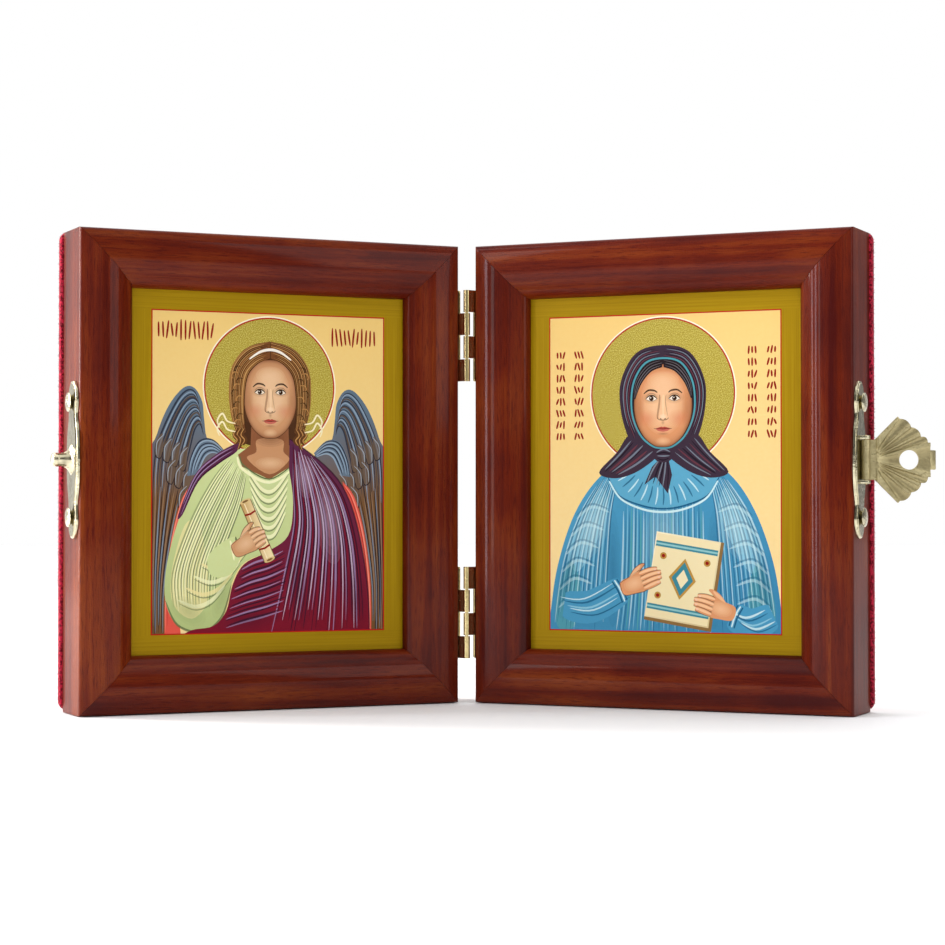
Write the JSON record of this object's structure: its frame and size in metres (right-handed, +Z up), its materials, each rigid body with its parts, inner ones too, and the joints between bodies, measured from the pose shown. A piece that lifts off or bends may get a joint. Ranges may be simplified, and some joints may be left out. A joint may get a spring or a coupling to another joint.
{
  "type": "folding icon diptych",
  "caption": "Two mitred wooden frames hinged like a book, each with a painted-style panel and a velvet back, closed by a shell hasp over a knob.",
  "frame": {"origin": "under the middle of the object's box, on the surface that it stands on, with the leaves open", "axes": "+X to the right across the open leaves, the pictures facing -Y, +Z up along the hinge pins"},
  "size_m": [0.2304, 0.0632, 0.1274],
  "materials": {
    "stained_wood": "gloss lacquer",
    "panel_wood": "bare",
    "printed_paper": "varnished print",
    "red_velvet": "short pile",
    "brass": "cast and polished, dulled"
  },
  "bodies": {
    "left_leaf": {"left_rail_top": "stained_wood", "left_rail_bottom": "stained_wood", "left_rail_outer": "stained_wood", "left_rail_hinge": "stained_wood", "left_print": "printed_paper", "left_board": "panel_wood", "left_velvet_back": "red_velvet", "left_upper_hinge_plate": "brass", "left_upper_hinge_screw_1": "brass", "left_upper_hinge_screw_2": "brass", "left_lower_hinge_plate": "brass", "left_lower_hinge_screw_1": "brass", "left_lower_hinge_screw_2": "brass", "left_clasp_screw_1": "brass", "left_clasp_screw_2": "brass", "left_knob_plate": "brass", "upper_hinge_pin": "brass", "lower_hinge_pin": "brass"},
    "right_leaf": {"right_rail_top": "stained_wood", "right_rail_bottom": "stained_wood", "right_rail_outer": "stained_wood", "right_rail_hinge": "stained_wood", "right_print": "printed_paper", "right_board": "panel_wood", "right_velvet_back": "red_velvet", "right_upper_hinge_plate": "brass", "right_upper_hinge_screw_1": "brass", "right_upper_hinge_screw_2": "brass", "right_lower_hinge_plate": "brass", "right_lower_hinge_screw_1": "brass", "right_lower_hinge_screw_2": "brass", "right_clasp_screw_1": "brass", "right_clasp_screw_2": "brass", "right_hasp_plate": "brass", "hasp_pin": "brass"},
    "hasp": {"hasp": "brass"}
  },
  "joints": [
    {"name": "leaf_fold", "type": "hinge", "parent": "left_leaf", "child": "right_leaf", "pos_m": [-0.00688, 0.01437, 0.0635], "axis": [0, 0, 1], "range_deg": [-130, 50]},
    {"name": "hasp_swing", "type": "hinge", "parent": "right_leaf", "child": "hasp", "pos_m": [0.09699, -0.02778, 0.0665], "axis": [0, 0, 1], "range_deg": [-114, 54]}
  ]
}
